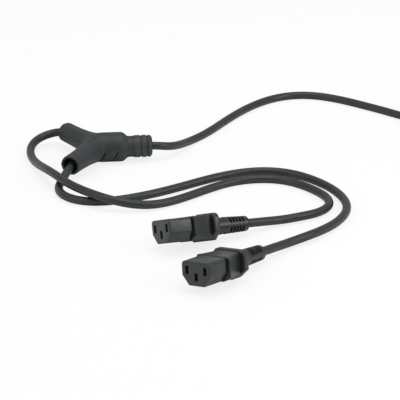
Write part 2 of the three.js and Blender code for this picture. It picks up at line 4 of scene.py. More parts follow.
import bmesh
import bpy
from bpy.props import FloatProperty, FloatVectorProperty, IntProperty, PointerProperty
from mathutils import Euler, Matrix, Vector


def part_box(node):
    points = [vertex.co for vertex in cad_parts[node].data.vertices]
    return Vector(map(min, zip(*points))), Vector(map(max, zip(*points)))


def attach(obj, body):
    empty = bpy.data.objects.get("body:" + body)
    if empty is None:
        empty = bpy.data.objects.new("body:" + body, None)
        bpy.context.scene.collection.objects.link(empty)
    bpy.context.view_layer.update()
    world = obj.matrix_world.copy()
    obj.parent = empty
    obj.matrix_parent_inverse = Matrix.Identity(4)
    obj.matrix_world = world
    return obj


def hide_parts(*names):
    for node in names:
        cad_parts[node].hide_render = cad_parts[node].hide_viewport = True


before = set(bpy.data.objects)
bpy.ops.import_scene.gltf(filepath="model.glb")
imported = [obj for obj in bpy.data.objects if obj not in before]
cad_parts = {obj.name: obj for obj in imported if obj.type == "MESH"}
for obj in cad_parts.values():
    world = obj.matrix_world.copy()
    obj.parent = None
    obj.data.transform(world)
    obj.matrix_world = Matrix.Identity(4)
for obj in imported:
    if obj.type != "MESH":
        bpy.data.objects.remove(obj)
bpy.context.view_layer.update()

bl_info = {
    "name": "Power cord splitter",
    "version": (1, 0, 0),
    "blender": (4, 5, 0),
    "location": "View3D > Sidebar > Splitter",
    "description": "Builds a power cord splitter: leads, junction, connectors and plug",
    "category": "Object",
}

MM = 0.001
BODY = "root"
FIT = 0.0003                   # gap between pieces that touch, as in the solids

# Where the two connectors and the plug lie: middle of the cord end in millimetres, then heading,
# nose lift and roll in degrees
POSES = {
    "connector_1": ((86.9, -197.1, 6.9), -134.2, 5.6, 8.5),
    "connector_2": ((83.6, -147.5, 7.2), -153.2, 6.9, 22.0),
    "plug": ((317.0, 111.6, 10.25), 90.0, 0.0, 0.0),
}

# Places along a connector, from its cord end
RELIEF_LENGTH = 28.3 * MM
FLANGE_LENGTH = 4.3 * MM
GRIP_LENGTH = 15.6 * MM
NOSE_LENGTH = 17.3 * MM
GRIP_AT = RELIEF_LENGTH + FLANGE_LENGTH
NOSE_AT = GRIP_AT + GRIP_LENGTH
FACE_AT = NOSE_AT + NOSE_LENGTH

# The junction's arms, from the middle of its fork
FORK_AT = Vector((-6.1, 0.0, 10.6)) * MM
SLEEVE_DIRS = [Vector((-0.5, side * math.sqrt(0.75), 0.0)) for side in (1, -1)]

# Details of the junction, in metres and radians
SHOULDER = 0.0038              # from the barrel's end to the trunk collar
NECK_LENGTH = 0.004            # the collar's plain stretch before its rings
COLLAR_LENGTH = 0.0172
COLLAR_NOSE = 0.0027           # length of the collar's rounded end
RING_WIDTHS = (0.0047, 0.0034)
RING_GROOVE = 0.001
SLIT_PLACES = (0.0036, 0.0126)     # along the barrel from the fork's middle
SLIT_ROUND = math.radians(113)     # around the barrel, from its top
SLIT_LEAN = math.radians(24)
SLIT_WIDTH = 0.0013
SLIT_LENGTH = 0.009
SLIT_DEPTH = 0.0013
MARK_RADIUS = 0.00065          # marks left by the mould's core pins
MARK_DEPTH = 0.0014
SLEEVE_MARK_BACK = 0.007       # a sleeve's mark, from its mouth
SADDLE_MARK = (-0.0015, 0.0062, 0.0084)    # the mark where a sleeve leaves the barrel

# Details of the connectors and the plug, in metres
FLANGE_EDGE = 0.0009
GRIP_ROUND = 0.0022
GRIP_CUT = 0.0064              # sideways reach of the grip's cut corners
GRIP_CUT_SLOPE = 3.0 / 6.4     # their height for that reach
LIP_HALF = 0.0065              # tongue under the grip
LIP_HEIGHT = 0.0022
LIP_LENGTH = 0.006
PIN_PLACES = ((-0.007, 0.002), (0.007, 0.002), (0.0, -0.002))
FACE_SHAPE = {"top_round": 0.0026, "cut": 0.005, "cut_height": 0.0062, "edge_round": 0.0009}
FLANGE_SHAPE = {"top_round": 0.005, "cut": 0.0062, "cut_height": 0.0054, "edge_round": 0.0014}
RIM_SHAPE = {"top_round": 0.0045, "cut": 0.006, "cut_height": 0.0072, "edge_round": 0.0015}

# Details of the leads, in metres
COIL_AT = Vector((0.279, 0.070, 0.0))
STRAIGHT = (0.030, 0.015)      # points on a connector's axis behind its cord end
LEAD_IN = 0.002                # how far a lead goes on inside its connector
EASING = 6                     # rounds of smoothing along a lead

# The stage
CAMERA_AT = (-0.0721, -1.4505, 0.5271)
CAMERA_AHEAD = (0.0958, 0.9954, 0.0)
CAMERA_TILT = math.radians(21.0)
CAMERA_LENS = 194.4
MIDDLE = (0.08, -0.04, 0.0)    # what the lamps aim at
LAMPS = (                      # name, place, size, power
    ("lamp_above", (0.15, -0.1, 1.5), 1.3, 9.0),
    ("lamp_right", (1.3, -0.7, 0.8), 0.9, 7.0),
    ("lamp_left", (-1.2, -0.5, 0.9), 0.9, 3.5),
)
WORLD_LEVEL = 0.55
FLOOR_SIZE = 6.0
FLOOR_GLOW = 0.8               # the floor's share of plain white, as the camera sees it

# Routes of the leads from the junction outwards, in millimetres
LIE = 3.0
OVER = 9.2
BRANCH_1 = [
    (-25.0, -32.8, 10.3), (-28.2, -39.0, 8.6), (-31.6, -45.4, 5.9), (-34.6, -52.2, 3.6),
    (-36.2, -60.0, LIE), (-35.0, -68.5, LIE), (-31.0, -77.0, LIE), (-24.0, -83.8, LIE),
    (-14.5, -87.6, LIE), (-3.0, -87.6, LIE), (9.0, -84.5, LIE), (21.0, -79.8, LIE),
    (34.0, -73.2, LIE), (48.0, -64.8, LIE), (62.0, -55.8, LIE), (76.0, -47.6, LIE),
    (90.0, -41.8, LIE), (104.0, -39.2, LIE), (117.0, -41.0, LIE), (128.5, -47.2, LIE),
    (138.0, -56.8, LIE), (145.6, -68.0, LIE), (151.4, -80.0, LIE), (155.0, -92.6, LIE),
    (156.4, -105.4, LIE), (155.0, -118.0, LIE), (150.6, -130.4, LIE), (143.6, -142.2, 3.1),
    (134.4, -153.6, 3.6), (123.6, -165.0, 4.6),
]
BRANCH_2 = [
    (-24.8, 32.3, 10.5), (-28.4, 37.2, 10.2), (-34.0, 40.0, 9.2), (-42.0, 38.4, 7.6),
    (-47.6, 34.6, 6.2), (-51.4, 28.6, 4.8), (-53.2, 21.0, 3.8), (-53.4, 12.0, 3.2),
    (-52.2, 1.5, 3.1), (-49.6, -11.0, 4.2), (-46.0, -25.5, 6.6), (-41.8, -40.0, 9.0),
    (-36.8, -53.0, 9.9), (-30.6, -65.4, 9.3), (-23.4, -77.2, 9.3), (-14.6, -88.4, OVER),
    (-4.6, -97.0, 8.4), (6.8, -101.4, 6.6), (18.6, -101.2, 4.6), (30.6, -97.0, 3.4),
    (43.0, -89.6, LIE), (56.0, -79.6, LIE), (69.0, -69.0, LIE), (82.0, -60.2, LIE),
    (95.0, -55.6, LIE), (107.4, -55.0, LIE), (118.8, -58.4, LIE), (129.0, -66.6, LIE),
    (137.6, -78.6, LIE), (143.6, -91.0, LIE), (145.6, -103.0, LIE), (142.4, -113.8, LIE),
    (134.6, -122.6, 3.1), (124.4, -129.6, 4.0),
]
TRUNK = [
    (33.4, 0.0, 10.6), (39.1, 0.3, 10.1), (45.1, 2.6, 8.7), (50.4, 8.8, 6.9), (56.0, 17.2, 5.0),
    (61.6, 26.0, 3.6), (68.4, 34.6, LIE), (76.6, 45.0, LIE), (84.6, 57.0, LIE), (93.4, 71.0, LIE),
    (103.0, 85.6, LIE), (113.6, 99.6, LIE), (125.2, 112.0, LIE), (137.6, 121.4, LIE),
    (150.2, 126.2, LIE), (162.6, 126.2, LIE), (174.6, 121.4, LIE), (186.2, 113.2, LIE),
    (197.2, 102.8, LIE), (208.0, 91.6, LIE), (218.2, 80.4, LIE), (227.6, 69.6, LIE),
    (235.8, 60.6, 4.1),
]


class SplitterLeads(bpy.types.PropertyGroup):
    """Sizes of the leads and the coil"""
    diameter: FloatProperty(
        name="Lead diameter", description="Outside diameter of all three leads",
        default=0.0058, min=0.004, max=0.009, unit="LENGTH", precision=4)
    coil_radius: FloatProperty(
        name="Coil radius", description="Radius of the coil at the middle of its turns",
        default=0.032, min=0.025, max=0.06, unit="LENGTH", precision=4)
    coil_pitch: FloatProperty(
        name="Turn pitch", description="Distance between neighbouring turns of the coil",
        default=0.006, min=0.0058, max=0.009, unit="LENGTH", precision=4)
    coil_lift: FloatProperty(
        name="Coil lift", description="Height of the coil's underside above the surface",
        default=0.0012, min=0.0, max=0.004, unit="LENGTH", precision=4)
    sample: FloatProperty(
        name="Sample step", description="Distance between the points a lead is drawn with",
        default=0.0025, min=0.001, max=0.01, unit="LENGTH", precision=4)


class SplitterJunction(bpy.types.PropertyGroup):
    """Sizes of the moulded junction"""
    barrel_radius: FloatProperty(
        name="Barrel radius", description="Outside radius of the barrel",
        default=0.0106, min=0.008, max=0.014, unit="LENGTH", precision=4)
    barrel_length: FloatProperty(
        name="Barrel length", description="From the fork's middle to the shoulder",
        default=0.0182, min=0.012, max=0.03, unit="LENGTH", precision=4)
    sleeve_radius: FloatProperty(
        name="Sleeve radius", description="Outside radius of a sleeve at its mouth",
        default=0.00715, min=0.005, max=0.01, unit="LENGTH", precision=4)
    sleeve_length: FloatProperty(
        name="Sleeve length", description="From the fork's middle to a sleeve's mouth",
        default=0.0416, min=0.03, max=0.06, unit="LENGTH", precision=4)
    recess_radius: FloatProperty(
        name="Recess radius", description="Radius of the open end of a sleeve",
        default=0.0052, min=0.0035, max=0.008, unit="LENGTH", precision=4)
    recess_depth: FloatProperty(
        name="Recess depth", description="Depth of the open end of a sleeve",
        default=0.009, min=0.003, max=0.015, unit="LENGTH", precision=4)
    collar_radius: FloatProperty(
        name="Collar radius", description="Radius of the trunk collar's neck",
        default=0.0075, min=0.005, max=0.01, unit="LENGTH", precision=4)
    ring_radius: FloatProperty(
        name="Ring radius", description="Radius of the rings on the trunk collar",
        default=0.00795, min=0.006, max=0.011, unit="LENGTH", precision=4)


class SplitterConnector(bpy.types.PropertyGroup):
    """Sizes that the connectors and the plug share"""
    face_width: FloatProperty(
        name="Face width", description="Width of a connector's nose",
        default=0.022, min=0.018, max=0.026, unit="LENGTH", precision=4)
    face_height: FloatProperty(
        name="Face height", description="Height of a connector's nose",
        default=0.0153, min=0.012, max=0.018, unit="LENGTH", precision=4)
    grip_width: FloatProperty(
        name="Grip width", description="Width of the grip at its front",
        default=0.0264, min=0.02, max=0.032, unit="LENGTH", precision=4)
    grip_height: FloatProperty(
        name="Grip height", description="Height of the grip",
        default=0.016, min=0.012, max=0.02, unit="LENGTH", precision=4)
    waist_width: FloatProperty(
        name="Waist width", description="Width of the grip where it meets the flange",
        default=0.018, min=0.014, max=0.024, unit="LENGTH", precision=4)
    flange_width: FloatProperty(
        name="Flange width", description="Width of the flange behind the grip",
        default=0.0252, min=0.02, max=0.03, unit="LENGTH", precision=4)
    flange_height: FloatProperty(
        name="Flange height", description="Height of the flange behind the grip",
        default=0.0178, min=0.014, max=0.022, unit="LENGTH", precision=4)
    relief_root: FloatProperty(
        name="Relief root radius", description="Radius of the strain relief at the flange",
        default=0.006, min=0.004, max=0.008, unit="LENGTH", precision=4)
    relief_end: FloatProperty(
        name="Relief end radius", description="Radius of the strain relief at its cord end",
        default=0.005, min=0.0035, max=0.007, unit="LENGTH", precision=4)
    ribs: IntProperty(
        name="Grooves", description="Grooves cut into the strain relief",
        default=5, min=0, max=9)
    collar_wall: FloatProperty(
        name="Collar wall", description="Wall of the plug's collar",
        default=0.0019, min=0.001, max=0.004, unit="LENGTH", precision=4)
    collar_depth: FloatProperty(
        name="Collar depth", description="Depth of the plug's collar",
        default=0.0166, min=0.012, max=0.02, unit="LENGTH", precision=4)


class SplitterColours(bpy.types.PropertyGroup):
    """Colours of the finishes"""
    junction: FloatVectorProperty(
        name="Junction", description="Colour of the matt moulded junction",
        subtype="COLOR", size=3, default=(0.019, 0.024, 0.025), min=0.0, max=1.0)
    jacket: FloatVectorProperty(
        name="Jacket", description="Colour of the leads' jacket",
        subtype="COLOR", size=3, default=(0.014, 0.018, 0.018), min=0.0, max=1.0)
    grip: FloatVectorProperty(
        name="Grip", description="Colour of the connectors' moulded grips",
        subtype="COLOR", size=3, default=(0.012, 0.015, 0.016), min=0.0, max=1.0)
    nose: FloatVectorProperty(
        name="Nose", description="Colour of the connectors' hard noses",
        subtype="COLOR", size=3, default=(0.016, 0.020, 0.020), min=0.0, max=1.0)
    strap: FloatVectorProperty(
        name="Strap", description="Colour of the tie around the coil",
        subtype="COLOR", size=3, default=(0.010, 0.011, 0.013), min=0.0, max=1.0)


# Finishes

def noise(tree, scale, detail, roughness=0.5):
    """Noise in the object's own space"""
    place = tree.nodes.new("ShaderNodeTexCoord")
    grain = tree.nodes.new("ShaderNodeTexNoise")
    grain.inputs["Scale"].default_value = scale
    grain.inputs["Detail"].default_value = detail
    grain.inputs["Roughness"].default_value = roughness
    tree.links.new(place.outputs["Object"], grain.inputs["Vector"])
    return grain.outputs["Fac"]


def between(tree, value, low, high, smooth_from=0.3, smooth_to=0.7):
    """A value of noise turned into a range"""
    spread = tree.nodes.new("ShaderNodeMapRange")
    spread.inputs["From Min"].default_value = smooth_from
    spread.inputs["From Max"].default_value = smooth_to
    spread.inputs["To Min"].default_value = low
    spread.inputs["To Max"].default_value = high
    tree.links.new(value, spread.inputs["Value"])
    return spread.outputs["Result"]


def mixed(tree, factor, first, second):
    """Two colours mixed by a factor"""
    mix = tree.nodes.new("ShaderNodeMix")
    mix.data_type = "RGBA"
    mix.inputs["A"].default_value = (*first, 1.0)
    mix.inputs["B"].default_value = (*second, 1.0)
    tree.links.new(factor, mix.inputs["Factor"])
    return mix.outputs["Result"]


def bumped(tree, shader, heights):
    """Bump from (height, strength, distance), one on top of the other"""
    normal = None
    for height, strength, distance in heights:
        bump = tree.nodes.new("ShaderNodeBump")
        bump.inputs["Strength"].default_value = strength
        bump.inputs["Distance"].default_value = distance
        tree.links.new(height, bump.inputs["Height"])
        if normal is not None:
            tree.links.new(normal, bump.inputs["Normal"])
        normal = bump.outputs["Normal"]
    tree.links.new(normal, shader.inputs["Normal"])


def scaled(colour, factor):
    return tuple(min(1.0, c * factor) for c in colour)


def new_finish(name):
    """A material with its nodes and its main shader"""
    finish = bpy.data.materials.new(name)
    finish.use_nodes = True
    return finish, finish.node_tree, finish.node_tree.nodes["Principled BSDF"]


def moulded(name, colour, roughness, grain, edge_highlight=0.0, coat=0.0, texture=900.0):
    """Moulded plastic: mottled colour, uneven gloss, a fine skin texture and a painted highlight on
    its sharp edges
    """
    finish, tree, shader = new_finish(name)
    broad = noise(tree, 55.0, 3.0)
    fine = noise(tree, texture, 2.0, 0.6)
    tone = between(tree, broad, 0.0, 1.0)
    colours = mixed(tree, tone, scaled(colour, 0.86), scaled(colour, 1.16))
    # Painted highlight: sharp convex edges are painted lighter, by up to the amount passed in
    if edge_highlight > 0.0:
        shape = tree.nodes.new("ShaderNodeNewGeometry")
        highlit_edge = between(tree, shape.outputs["Pointiness"], 0.0, edge_highlight, 0.52, 0.6)
        mix = tree.nodes.new("ShaderNodeMix")
        mix.data_type = "RGBA"
        mix.inputs["B"].default_value = (*scaled(colour, 2.6), 1.0)
        tree.links.new(highlit_edge, mix.inputs["Factor"])
        tree.links.new(colours, mix.inputs["A"])
        colours = mix.outputs["Result"]
    tree.links.new(colours, shader.inputs["Base Color"])
    patchy = between(tree, noise(tree, 140.0, 4.0), roughness - 0.05, roughness + 0.06)
    tree.links.new(patchy, shader.inputs["Roughness"])
    shader.inputs["Coat Weight"].default_value = coat
    shader.inputs["Coat Roughness"].default_value = 0.25
    bumped(tree, shader, [(broad, 0.08, 0.0004), (fine, grain, 0.00006)])
    return finish


def metal(name, colour, roughness):
    """Plated or bare metal with faint drawing marks"""
    finish, tree, shader = new_finish(name)
    shader.inputs["Metallic"].default_value = 1.0
    tone = between(tree, noise(tree, 500.0, 3.0), 0.0, 1.0)
    colours = mixed(tree, tone, scaled(colour, 0.9), scaled(colour, 1.05))
    tree.links.new(colours, shader.inputs["Base Color"])
    marks = noise(tree, 2400.0, 2.0)
    uneven = between(tree, marks, roughness - 0.06, roughness + 0.08)
    tree.links.new(uneven, shader.inputs["Roughness"])
    bumped(tree, shader, [(marks, 0.15, 0.00003)])
    return finish


def striped(name, colour, stripe):
    """Insulation of a conductor, with a second colour for the earth"""
    finish, tree, shader = new_finish(name)
    place = tree.nodes.new("ShaderNodeTexCoord")
    wave = tree.nodes.new("ShaderNodeTexWave")
    wave.bands_direction = "DIAGONAL"
    wave.inputs["Scale"].default_value = 90.0
    tree.links.new(place.outputs["Object"], wave.inputs["Vector"])
    band = between(tree, wave.outputs["Fac"], 0.0, 1.0, 0.45, 0.55)
    tree.links.new(mixed(tree, band, colour, stripe), shader.inputs["Base Color"])
    patchy = noise(tree, 800.0, 2.0)
    tree.links.new(between(tree, patchy, 0.4, 0.52), shader.inputs["Roughness"])
    bumped(tree, shader, [(patchy, 0.1, 0.00004)])
    return finish


def woven(name, colour):
    """Woven strap with a brushed loop face"""
    finish, tree, shader = new_finish(name)
    place = tree.nodes.new("ShaderNodeTexCoord")
    threads = []
    for direction in ("X", "Y", "Z"):
        wave = tree.nodes.new("ShaderNodeTexWave")
        wave.bands_direction = direction
        wave.inputs["Scale"].default_value = 420.0
        wave.inputs["Distortion"].default_value = 1.5
        tree.links.new(place.outputs["Object"], wave.inputs["Vector"])
        threads.append(wave.outputs["Fac"])
    fuzz = noise(tree, 2600.0, 3.0)
    tone = between(tree, fuzz, 0.0, 1.0)
    colours = mixed(tree, tone, scaled(colour, 0.7), scaled(colour, 1.7))
    tree.links.new(colours, shader.inputs["Base Color"])
    shader.inputs["Roughness"].default_value = 0.9
    shader.inputs["Sheen Weight"].default_value = 0.3
    heights = [(thread, 0.25, 0.0001) for thread in threads]
    bumped(tree, shader, [*heights, (fuzz, 0.5, 0.00015)])
    return finish


# Meshes

def link(name, mesh, finish, turn=None, sharp=math.radians(32)):
    """A mesh as an object, its place written into its points"""
    if turn is not None:
        mesh.transform(turn)
    work = bmesh.new()
    work.from_mesh(mesh)
    bmesh.ops.recalc_face_normals(work, faces=work.faces)
    work.to_mesh(mesh)
    work.free()
    mesh.shade_smooth()
    mesh.set_sharp_from_angle(angle=sharp)
    mesh.materials.clear()
    mesh.materials.append(finish)
    piece = bpy.data.objects.new(name, mesh)
    bpy.context.scene.collection.objects.link(piece)
    return piece


def settle(piece, slot, *replaced):
    """A piece rides on the body and stands for its CAD nodes, which are hidden; the slot is not used
    """
    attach(piece, BODY)
    if replaced:
        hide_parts(*replaced)
    return piece


def loft(rings, cap_start=True, cap_end=True, round_again=False):
    """Points and faces of a skin over rings of equally many points"""
    count = len(rings[0])
    points = [point for ring in rings for point in ring]
    faces = []
    for r in range(len(rings) if round_again else len(rings) - 1):
        here, there = r * count, ((r + 1) % len(rings)) * count
        for i in range(count):
            j = (i + 1) % count
            faces.append((here + i, here + j, there + j, there + i))
    if cap_start:
        faces.append(tuple(reversed(range(count))))
    if cap_end:
        faces.append(tuple(range(len(points) - count, len(points))))
    return points, faces


def gathered(name, *shells):
    """One mesh of several lofts"""
    points, faces = [], []
    for shell_points, shell_faces in shells:
        start = len(points)
        points.extend(shell_points)
        faces.extend(tuple(start + i for i in face) for face in shell_faces)
    mesh = bpy.data.meshes.new(name)
    mesh.from_pydata(points, [], faces)
    mesh.update()
    return mesh


def inset(corners, distance):
    """A polygon's corners with every side moved inwards"""
    moved = []
    count = len(corners)
    for i in range(count):
        before, here, after = (Vector(corners[j % count]) for j in (i - 1, i, i + 1))
        a, b = (here - before).normalized(), (after - here).normalized()
        na, nb = Vector((-a.y, a.x)), Vector((-b.y, b.x))
        moved.append(here + (na + nb) * distance / (1.0 + na.dot(nb)))
    return moved


def rounded(corners, radii, steps=5):
    """A polygon with its corners rounded, each by its own radius"""
    points = []
    count = len(corners)
    for i in range(count):
        before, here, after = (Vector(corners[j % count]) for j in (i - 1, i, i + 1))
        a, b = (before - here), (after - here)
        half = a.angle(b) / 2.0
        reach = min(radii[i] / math.tan(half), 0.49 * a.length, 0.49 * b.length)
        start, end = here + a.normalized() * reach, here + b.normalized() * reach
        for k in range(steps + 1):
            t = k / steps
            points.append(start * (1 - t) ** 2 + here * 2 * t * (1 - t) + end * t ** 2)
    return points


def outline(width, height, top_round, cut, cut_height, edge_round, inwards=0.0):
    """Section with two rounded upper corners and two cut lower corners, around its middle"""
    w, h = width / 2, height / 2
    corners = [
        (-w + cut, -h), (w - cut, -h), (w, -h + cut_height), (w, h), (-w, h), (-w, -h + cut_height)]
    radii = [edge_round, edge_round, edge_round, top_round, top_round, edge_round]
    if inwards:
        corners = inset(corners, inwards)
        radii = [max(radius - inwards, 0.0002) for radius in radii]
    return rounded(corners, radii)


def at_x(section, x):
    """A section in its plane across a connector"""
    return [Vector((x, point[0], point[1])) for point in section]


def eased(start, end, depth, steps=3):
    """(place, inwards) pairs of a quarter-round edge that ends at end"""
    pairs = []
    direction = 1.0 if end > start else -1.0
    for k in range(steps + 1):
        angle = math.pi / 2 * k / steps
        pairs.append((end - direction * depth * (1 - math.sin(angle)), depth * (1 - math.cos(angle))))
    return pairs


def turned(rings, turn):
    return [[turn @ point for point in ring] for ring in rings]


def along(direction):
    """The turn that brings x to a level direction"""
    return Matrix.Rotation(math.atan2(direction.y, direction.x), 4, "Z")


def lathe(profile, segments=64):
    """Rings around x from (x, radius) pairs"""
    rings = []
    for x, radius in profile:
        angles = [2 * math.pi * k / segments for k in range(segments)]
        rings.append([Vector((x, radius * math.cos(a), radius * math.sin(a))) for a in angles])
    return rings


def fill_flat(mesh, places):
    """Closes the flat open ends of a mesh at the given places along x, around their holes"""
    work = bmesh.new()
    work.from_mesh(mesh)
    bmesh.ops.remove_doubles(work, verts=work.verts, dist=1e-7)
    for place in places:
        rim = [edge for edge in work.edges if edge.is_boundary
               and all(abs(vert.co.x - place) < 1e-6 for vert in edge.verts)]
        bmesh.ops.triangle_fill(work, edges=rim, use_beauty=True)
    work.to_mesh(mesh)
    work.free()


def baked(piece):
    """The piece's modifiers written into its mesh"""
    graph = bpy.context.evaluated_depsgraph_get()
    mesh = bpy.data.meshes.new_from_object(piece.evaluated_get(graph))
    piece.modifiers.clear()
    old, piece.data = piece.data, mesh
    bpy.data.meshes.remove(old)


def drop_slivers(mesh, reach=1e-6):
    """Joins points that a cut left almost in one place, and removes triangles folded onto others"""
    work = bmesh.new()
    work.from_mesh(mesh)
    bmesh.ops.triangulate(work, faces=work.faces)
    bmesh.ops.remove_doubles(work, verts=work.verts, dist=reach)
    alike = {}
    for face in work.faces:
        alike.setdefault(frozenset(face.verts), []).append(face)
    folded = [face for faces in alike.values() if len(faces) > 1 for face in faces]
    bmesh.ops.delete(work, geom=folded, context="FACES")
    single = [face for face in work.faces if any(edge.is_boundary for edge in face.edges)]
    bmesh.ops.delete(work, geom=single, context="FACES")
    work.to_mesh(mesh)
    work.free()


# Leads

def catmull_rom(points, step):
    """Centripetal curve through the points, in metres, sampled about every step"""
    ends = [points[0] * 2 - points[1], *points, points[-1] * 2 - points[-2]]
    samples = []
    for p0, p1, p2, p3 in zip(ends, ends[1:], ends[2:], ends[3:]):
        d0, d1, d2 = (max((b - a).length, 1e-6) ** 0.5 for a, b in ((p0, p1), (p1, p2), (p2, p3)))
        t1 = ((p1 - p0) / d0 - (p2 - p0) / (d0 + d1) + (p2 - p1) / d1) * d1
        t2 = ((p2 - p1) / d1 - (p3 - p1) / (d1 + d2) + (p3 - p2) / d2) * d1
        count = max(1, round((p2 - p1).length / step))
        for k in range(count):
            t = k / count
            samples.append(
                p1 * (2 * t ** 3 - 3 * t ** 2 + 1) + t1 * (t ** 3 - 2 * t ** 2 + t)
                + p2 * (3 * t ** 2 - 2 * t ** 3) + t2 * (t ** 3 - t ** 2))
    samples.append(points[-1])
    return samples


def relaxed(points, rounds, held=3):
    """Points eased towards their neighbours, with the ends held"""
    for _ in range(rounds):
        eased_points = [
            a * 0.25 + b * 0.5 + c * 0.25 for a, b, c in zip(points, points[1:], points[2:])]
        points = points[:held] + eased_points[held - 1:len(eased_points) - held + 1] + points[-held:]
    return points


def pose_matrix(name):
    at, heading, lift, roll = POSES[name]
    turn = Euler((math.radians(roll), -math.radians(lift), math.radians(heading)), "XYZ")
    return Matrix.Translation(Vector(at) * MM) @ turn.to_matrix().to_4x4()


def on_axis(name, x):
    """A point on a connector's axis"""
    return pose_matrix(name) @ Vector((x, 0.0, 0.0))


def in_sleeve(side, t):
    return FORK_AT + SLEEVE_DIRS[side] * t


def smooth_step(t):
    t = min(1.0, max(0.0, t))
    return t * t * (3 - 2 * t)


def coil_turns(sizes):
    """The coil's turns: three on the surface from the outside in, three on top from the inside out"""
    low = sizes.coil_lift + sizes.diameter / 2
    # Degrees around the coil: where its turns run, move in or out by one, and rise onto the others
    start, end, step = 223, 2161, 7
    inwards = ((500, 583), (860, 943))
    outwards = ((1440, 1520), (1800, 1880))
    rise = (1160, 1220)
    turns = []
    for angle in range(start, end, step):
        slot = 1.0
        slot -= sum(smooth_step((angle - a) / (b - a)) for a, b in inwards)
        slot += sum(smooth_step((angle - a) / (b - a)) for a, b in outwards)
        radius = sizes.coil_radius + slot * sizes.coil_pitch
        height = low + sizes.coil_pitch * smooth_step((angle - rise[0]) / (rise[1] - rise[0]))
        a = math.radians(angle)
        turns.append(COIL_AT + Vector((radius * math.cos(a), radius * math.sin(a), height)))
    return turns


def lead(name, points, sizes, finish):
    """A lead as one round curve through its points"""
    curve = bpy.data.curves.new(name, "CURVE")
    curve.dimensions = "3D"
    spline = curve.splines.new("POLY")
    spline.points.add(len(points) - 1)
    for point, place in zip(spline.points, points):
        point.co = (*place, 1.0)
    curve.bevel_depth = sizes.diameter / 2
    curve.bevel_resolution = 7
    curve.use_fill_caps = True
    spline.use_smooth = True
    curve.materials.append(finish)
    piece = bpy.data.objects.new(name, curve)
    bpy.context.scene.collection.objects.link(piece)
    return piece


class SPLITTER_OT_leads(bpy.types.Operator):
    """Lays the two branch leads and the trunk lead with its coil"""
    bl_idname = "splitter.leads"
    bl_label = "Leads"

    def execute(self, context):
        sizes = context.scene.splitter_leads
        junction = context.scene.splitter_junction
        colour = context.scene.splitter_colours.jacket
        finish = moulded("jacket_finish", colour, 0.4, 0.25, texture=1500.0)
        inside = junction.sleeve_length - junction.recess_depth
        for number, side, route in ((1, 1, BRANCH_1), (2, 0, BRANCH_2)):
            name = f"connector_{number}"
            points = [in_sleeve(side, inside + FIT)] + [Vector(p) * MM for p in route]
            points += [on_axis(name, -x) for x in (*STRAIGHT, FIT)]
            points = relaxed(catmull_rom(points, sizes.sample), EASING)
            points.append(on_axis(name, LEAD_IN))
            cord = lead(f"branch_lead_{number}", points, sizes, finish)
            settle(cord, "jacket", f"branch_cord_{number}")
            ends = [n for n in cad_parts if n.startswith(name)]
            ends += [f"{name}_relief", f"{name}_flange", f"{name}_handle", f"{name}_nose"]
        points = relaxed(catmull_rom([Vector(p) * MM for p in TRUNK], sizes.sample), EASING)
        turns = coil_turns(sizes)
        tail = [on_axis("plug", -x) for x in STRAIGHT]
        points += catmull_rom(turns + tail, sizes.sample) + [on_axis("plug", LEAD_IN)]
        cord = lead("trunk_lead", points, sizes, finish)
        settle(cord, "jacket", "trunk_cord", "trunk_coil", "trunk_tail")
        ends = [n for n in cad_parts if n.startswith("plug_")]
        ends += ["plug_relief", "plug_flange", "plug_handle", "plug_collar", "coil_strap", "coil_tie"]
        return {"FINISHED"}


# Junction

